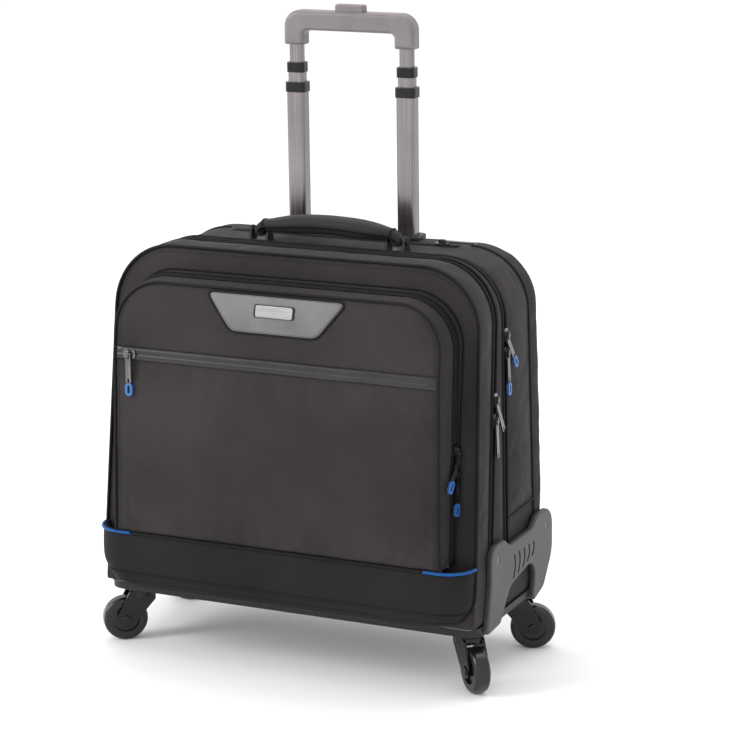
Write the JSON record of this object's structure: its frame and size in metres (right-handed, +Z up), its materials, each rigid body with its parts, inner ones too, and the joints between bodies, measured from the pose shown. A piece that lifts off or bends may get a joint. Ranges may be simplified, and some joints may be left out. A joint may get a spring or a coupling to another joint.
{
  "type": "rolling laptop case",
  "caption": "Soft-sided upright business case on four swivel casters, with a telescopic trolley, a carry handle, zipped compartments and a front pocket.",
  "frame": {"origin": "on the floor under the middle of the case", "axes": "+Z up along the trolley, -Y towards the front pocket, +X to the right seen from the front"},
  "size_m": [0.4491, 0.2213, 0.648],
  "materials": {
    "fabric": "matt twill",
    "band_fabric": "matt, denser twill",
    "lining": "matt",
    "zip_tape": "satin",
    "badge": "satin",
    "name_plate": "polished",
    "blue": "satin",
    "bracket": "satin",
    "black_plastic": "satin",
    "gloss_black": "gloss",
    "tyre": "satin",
    "anodised": "satin anodised",
    "dark_metal": "gunmetal",
    "steel": "bright",
    "panel": "matt"
  },
  "bodies": {
    "case": {"base_tray": "black_plastic", "bracket_left": "bracket", "bracket_right": "bracket", "bracket_screws": "bracket", "rear_shell": "fabric", "back_panel": "panel", "back_board": "lining", "rear_zip_tapes": "zip_tape", "tube_foot": "black_plastic", "outer_tubes": "steel", "top_bezel": "black_plastic", "handle_mounts": "dark_metal"},
    "laptop_section": {"laptop_gusset": "fabric", "laptop_divider": "lining", "laptop_sleeve": "lining", "laptop_zip_tapes": "zip_tape"},
    "front_section": {"front_shell": "fabric", "pocket_gusset": "fabric", "bottom_band": "band_fabric", "blue_piping": "blue", "front_zip_tape": "zip_tape"},
    "pocket_flap": {"flap_shell": "fabric", "badge_plate": "badge", "name_plate": "name_plate", "slip_zip_tape": "zip_tape"},
    "stage_1": {"stage_1_tubes": "anodised", "stage_1_collars": "black_plastic"},
    "stage_2": {"stage_2_tubes": "anodised", "stage_2_collars": "black_plastic"},
    "stage_3": {"stage_3_tubes": "anodised", "grip": "bracket"},
    "release_button": {"button": "bracket", "push_rods": "steel", "button_spring": "steel"},
    "carry_handle": {"carry_handle": "band_fabric"},
    "caster_front_left": {"fork_front_left": "gloss_black"},
    "wheel_front_left": {"wheel_front_left": "tyre"},
    "caster_front_right": {"fork_front_right": "gloss_black"},
    "wheel_front_right": {"wheel_front_right": "tyre"},
    "caster_rear_left": {"fork_rear_left": "gloss_black"},
    "wheel_rear_left": {"wheel_rear_left": "tyre"},
    "caster_rear_right": {"fork_rear_right": "gloss_black"},
    "wheel_rear_right": {"wheel_rear_right": "tyre"},
    "slider_slip_zip": {"slider_slip_zip": "dark_metal"},
    "tab_slip_zip": {"tab_slip_zip": "dark_metal"},
    "slider_pocket_zip_upper": {"slider_pocket_zip_upper": "dark_metal"},
    "tab_pocket_zip_upper": {"tab_pocket_zip_upper": "dark_metal"},
    "slider_pocket_zip_lower": {"slider_pocket_zip_lower": "dark_metal"},
    "tab_pocket_zip_lower": {"tab_pocket_zip_lower": "dark_metal"},
    "slider_front_zip_upper": {"slider_front_zip_upper": "dark_metal"},
    "tab_front_zip_upper": {"tab_front_zip_upper": "dark_metal"},
    "slider_front_zip_lower": {"slider_front_zip_lower": "dark_metal"},
    "tab_front_zip_lower": {"tab_front_zip_lower": "dark_metal"},
    "slider_rear_zip_upper": {"slider_rear_zip_upper": "dark_metal"},
    "tab_rear_zip_upper": {"tab_rear_zip_upper": "dark_metal"},
    "slider_rear_zip_lower": {"slider_rear_zip_lower": "dark_metal"},
    "tab_rear_zip_lower": {"tab_rear_zip_lower": "dark_metal"},
    "slider_top_zip": {"slider_top_zip": "dark_metal"},
    "tab_top_zip": {"tab_top_zip": "dark_metal"}
  },
  "joints": [
    {"name": "laptop_section_opens", "type": "hinge", "parent": "case", "child": "laptop_section", "pos_m": [0, -0.084, 0.069], "axis": [1, 0, 0], "range_deg": [0, 40]},
    {"name": "front_section_opens", "type": "hinge", "parent": "laptop_section", "child": "front_section", "pos_m": [0, -0.086, 0.0715], "axis": [1, 0, 0], "range_deg": [0, 45]},
    {"name": "pocket_flap_opens", "type": "hinge", "parent": "front_section", "child": "pocket_flap", "pos_m": [0, -0.1112, 0.13415], "axis": [1, 0, 0], "range_deg": [0, 80]},
    {"name": "trolley_stage_1_slides", "type": "slide", "parent": "case", "child": "stage_1", "axis": [0, 0, 1], "range_m": [-0.138, 0.055]},
    {"name": "trolley_stage_2_slides", "type": "slide", "parent": "stage_1", "child": "stage_2", "axis": [0, 0, 1], "range_m": [-0.009, 0.18]},
    {"name": "trolley_stage_3_slides", "type": "slide", "parent": "stage_2", "child": "stage_3", "axis": [0, 0, 1], "range_m": [-0.016, 0.18]},
    {"name": "release_button_presses", "type": "slide", "parent": "stage_3", "child": "release_button", "axis": [0, 0, 1], "range_m": [-0.003, 0], "stiffness_N_per_m": 600, "springref_m": 0.0015, "deforming": ["button_spring"]},
    {"name": "carry_handle_tilts", "type": "hinge", "parent": "case", "child": "carry_handle", "pos_m": [0, 0.0285, 0.4246], "axis": [1, 0, 0], "range_deg": [-40, 45]},
    {"name": "caster_front_left_swivels", "type": "hinge", "parent": "case", "child": "caster_front_left", "pos_m": [-0.184, -0.0509, 0.06], "axis": [0, 0, 1], "continuous": true},
    {"name": "wheel_front_left_rolls", "type": "hinge", "parent": "caster_front_left", "child": "wheel_front_left", "pos_m": [-0.19818, -0.06198, 0.023], "axis": [0.6157, -0.788, 0], "continuous": true},
    {"name": "caster_front_right_swivels", "type": "hinge", "parent": "case", "child": "caster_front_right", "pos_m": [0.184, -0.0509, 0.06], "axis": [0, 0, 1], "continuous": true},
    {"name": "wheel_front_right_rolls", "type": "hinge", "parent": "caster_front_right", "child": "wheel_front_right", "pos_m": [0.19673, -0.06363, 0.023], "axis": [0.7071, 0.7071, 0], "continuous": true},
    {"name": "caster_rear_left_swivels", "type": "hinge", "parent": "case", "child": "caster_rear_left", "pos_m": [-0.184, 0.0728, 0.06], "axis": [0, 0, 1], "continuous": true},
    {"name": "wheel_rear_left_rolls", "type": "hinge", "parent": "caster_rear_left", "child": "wheel_rear_left", "pos_m": [-0.20161, 0.07654, 0.023], "axis": [-0.2079, -0.9781, 0], "continuous": true},
    {"name": "caster_rear_right_swivels", "type": "hinge", "parent": "case", "child": "caster_rear_right", "pos_m": [0.184, 0.0728, 0.06], "axis": [0, 0, 1], "continuous": true},
    {"name": "wheel_rear_right_rolls", "type": "hinge", "parent": "caster_rear_right", "child": "wheel_rear_right", "pos_m": [0.20091, 0.07896, 0.023], "axis": [-0.342, 0.9397, 0], "continuous": true},
    {"name": "slider_slip_zip_slides", "type": "slide", "parent": "pocket_flap", "child": "slider_slip_zip", "axis": [1, 0, 0], "range_m": [0, 0.295]},
    {"name": "tab_slip_zip_swings", "type": "hinge", "parent": "slider_slip_zip", "child": "tab_slip_zip", "pos_m": [-0.158, -0.10636, 0.31839], "axis": [-1, 0, 0], "range_deg": [0, 110]},
    {"name": "slider_pocket_zip_upper_slides", "type": "slide", "parent": "front_section", "child": "slider_pocket_zip_upper", "axis": [-0.0053, 0.0778, 0.997], "range_m": [0, 0.07]},
    {"name": "tab_pocket_zip_upper_swings", "type": "hinge", "parent": "slider_pocket_zip_upper", "child": "tab_pocket_zip_upper", "pos_m": [0.18539, -0.07519, 0.24608], "axis": [-0.1746, -0.9817, 0.0757], "range_deg": [0, 110]},
    {"name": "slider_pocket_zip_lower_slides", "type": "slide", "parent": "front_section", "child": "slider_pocket_zip_lower", "axis": [-0.0053, 0.0778, 0.997], "range_m": [-0.06, 0]},
    {"name": "tab_pocket_zip_lower_swings", "type": "hinge", "parent": "slider_pocket_zip_lower", "child": "tab_pocket_zip_lower", "pos_m": [0.1855, -0.07683, 0.22508], "axis": [-0.1746, -0.9817, 0.0757], "range_deg": [0, 110]},
    {"name": "slider_front_zip_upper_slides", "type": "slide", "parent": "laptop_section", "child": "slider_front_zip_upper", "axis": [-0.0283, 0.1233, 0.992], "range_m": [0, 0.06]},
    {"name": "tab_front_zip_upper_swings", "type": "hinge", "parent": "slider_front_zip_upper", "child": "tab_front_zip_upper", "pos_m": [0.20316, -0.02241, 0.28613], "axis": [-0.0035, -0.9924, 0.1232], "range_deg": [0, 110]},
    {"name": "slider_front_zip_lower_slides", "type": "slide", "parent": "laptop_section", "child": "slider_front_zip_lower", "axis": [-0.0283, 0.1233, 0.992], "range_m": [-0.075, 0]},
    {"name": "tab_front_zip_lower_swings", "type": "hinge", "parent": "slider_front_zip_lower", "child": "tab_front_zip_lower", "pos_m": [0.20373, -0.02489, 0.26613], "axis": [-0.0035, -0.9924, 0.1232], "range_deg": [0, 110]},
    {"name": "slider_rear_zip_upper_slides", "type": "slide", "parent": "case", "child": "slider_rear_zip_upper", "axis": [-0.0285, 0.0476, 0.9985], "range_m": [0, 0.012]},
    {"name": "tab_rear_zip_upper_swings", "type": "hinge", "parent": "slider_rear_zip_upper", "child": "tab_rear_zip_upper", "pos_m": [0.20054, 0.01142, 0.34313], "axis": [-0.0014, -0.9989, 0.0476], "range_deg": [0, 110]},
    {"name": "slider_rear_zip_lower_slides", "type": "slide", "parent": "case", "child": "slider_rear_zip_lower", "axis": [-0.0285, 0.0476, 0.9985], "range_m": [-0.13, 0]},
    {"name": "tab_rear_zip_lower_swings", "type": "hinge", "parent": "slider_rear_zip_lower", "child": "tab_rear_zip_lower", "pos_m": [0.20105, 0.01056, 0.32512], "axis": [-0.0014, -0.9989, 0.0476], "range_deg": [0, 110]},
    {"name": "slider_top_zip_slides", "type": "slide", "parent": "case", "child": "slider_top_zip", "axis": [-1, 0, 0], "range_m": [0, 0.22]},
    {"name": "tab_top_zip_swings", "type": "hinge", "parent": "slider_top_zip", "child": "tab_top_zip", "pos_m": [0.108, 0.066, 0.4194], "axis": [0, -1, 0], "range_deg": [0, 110]}
  ]
}
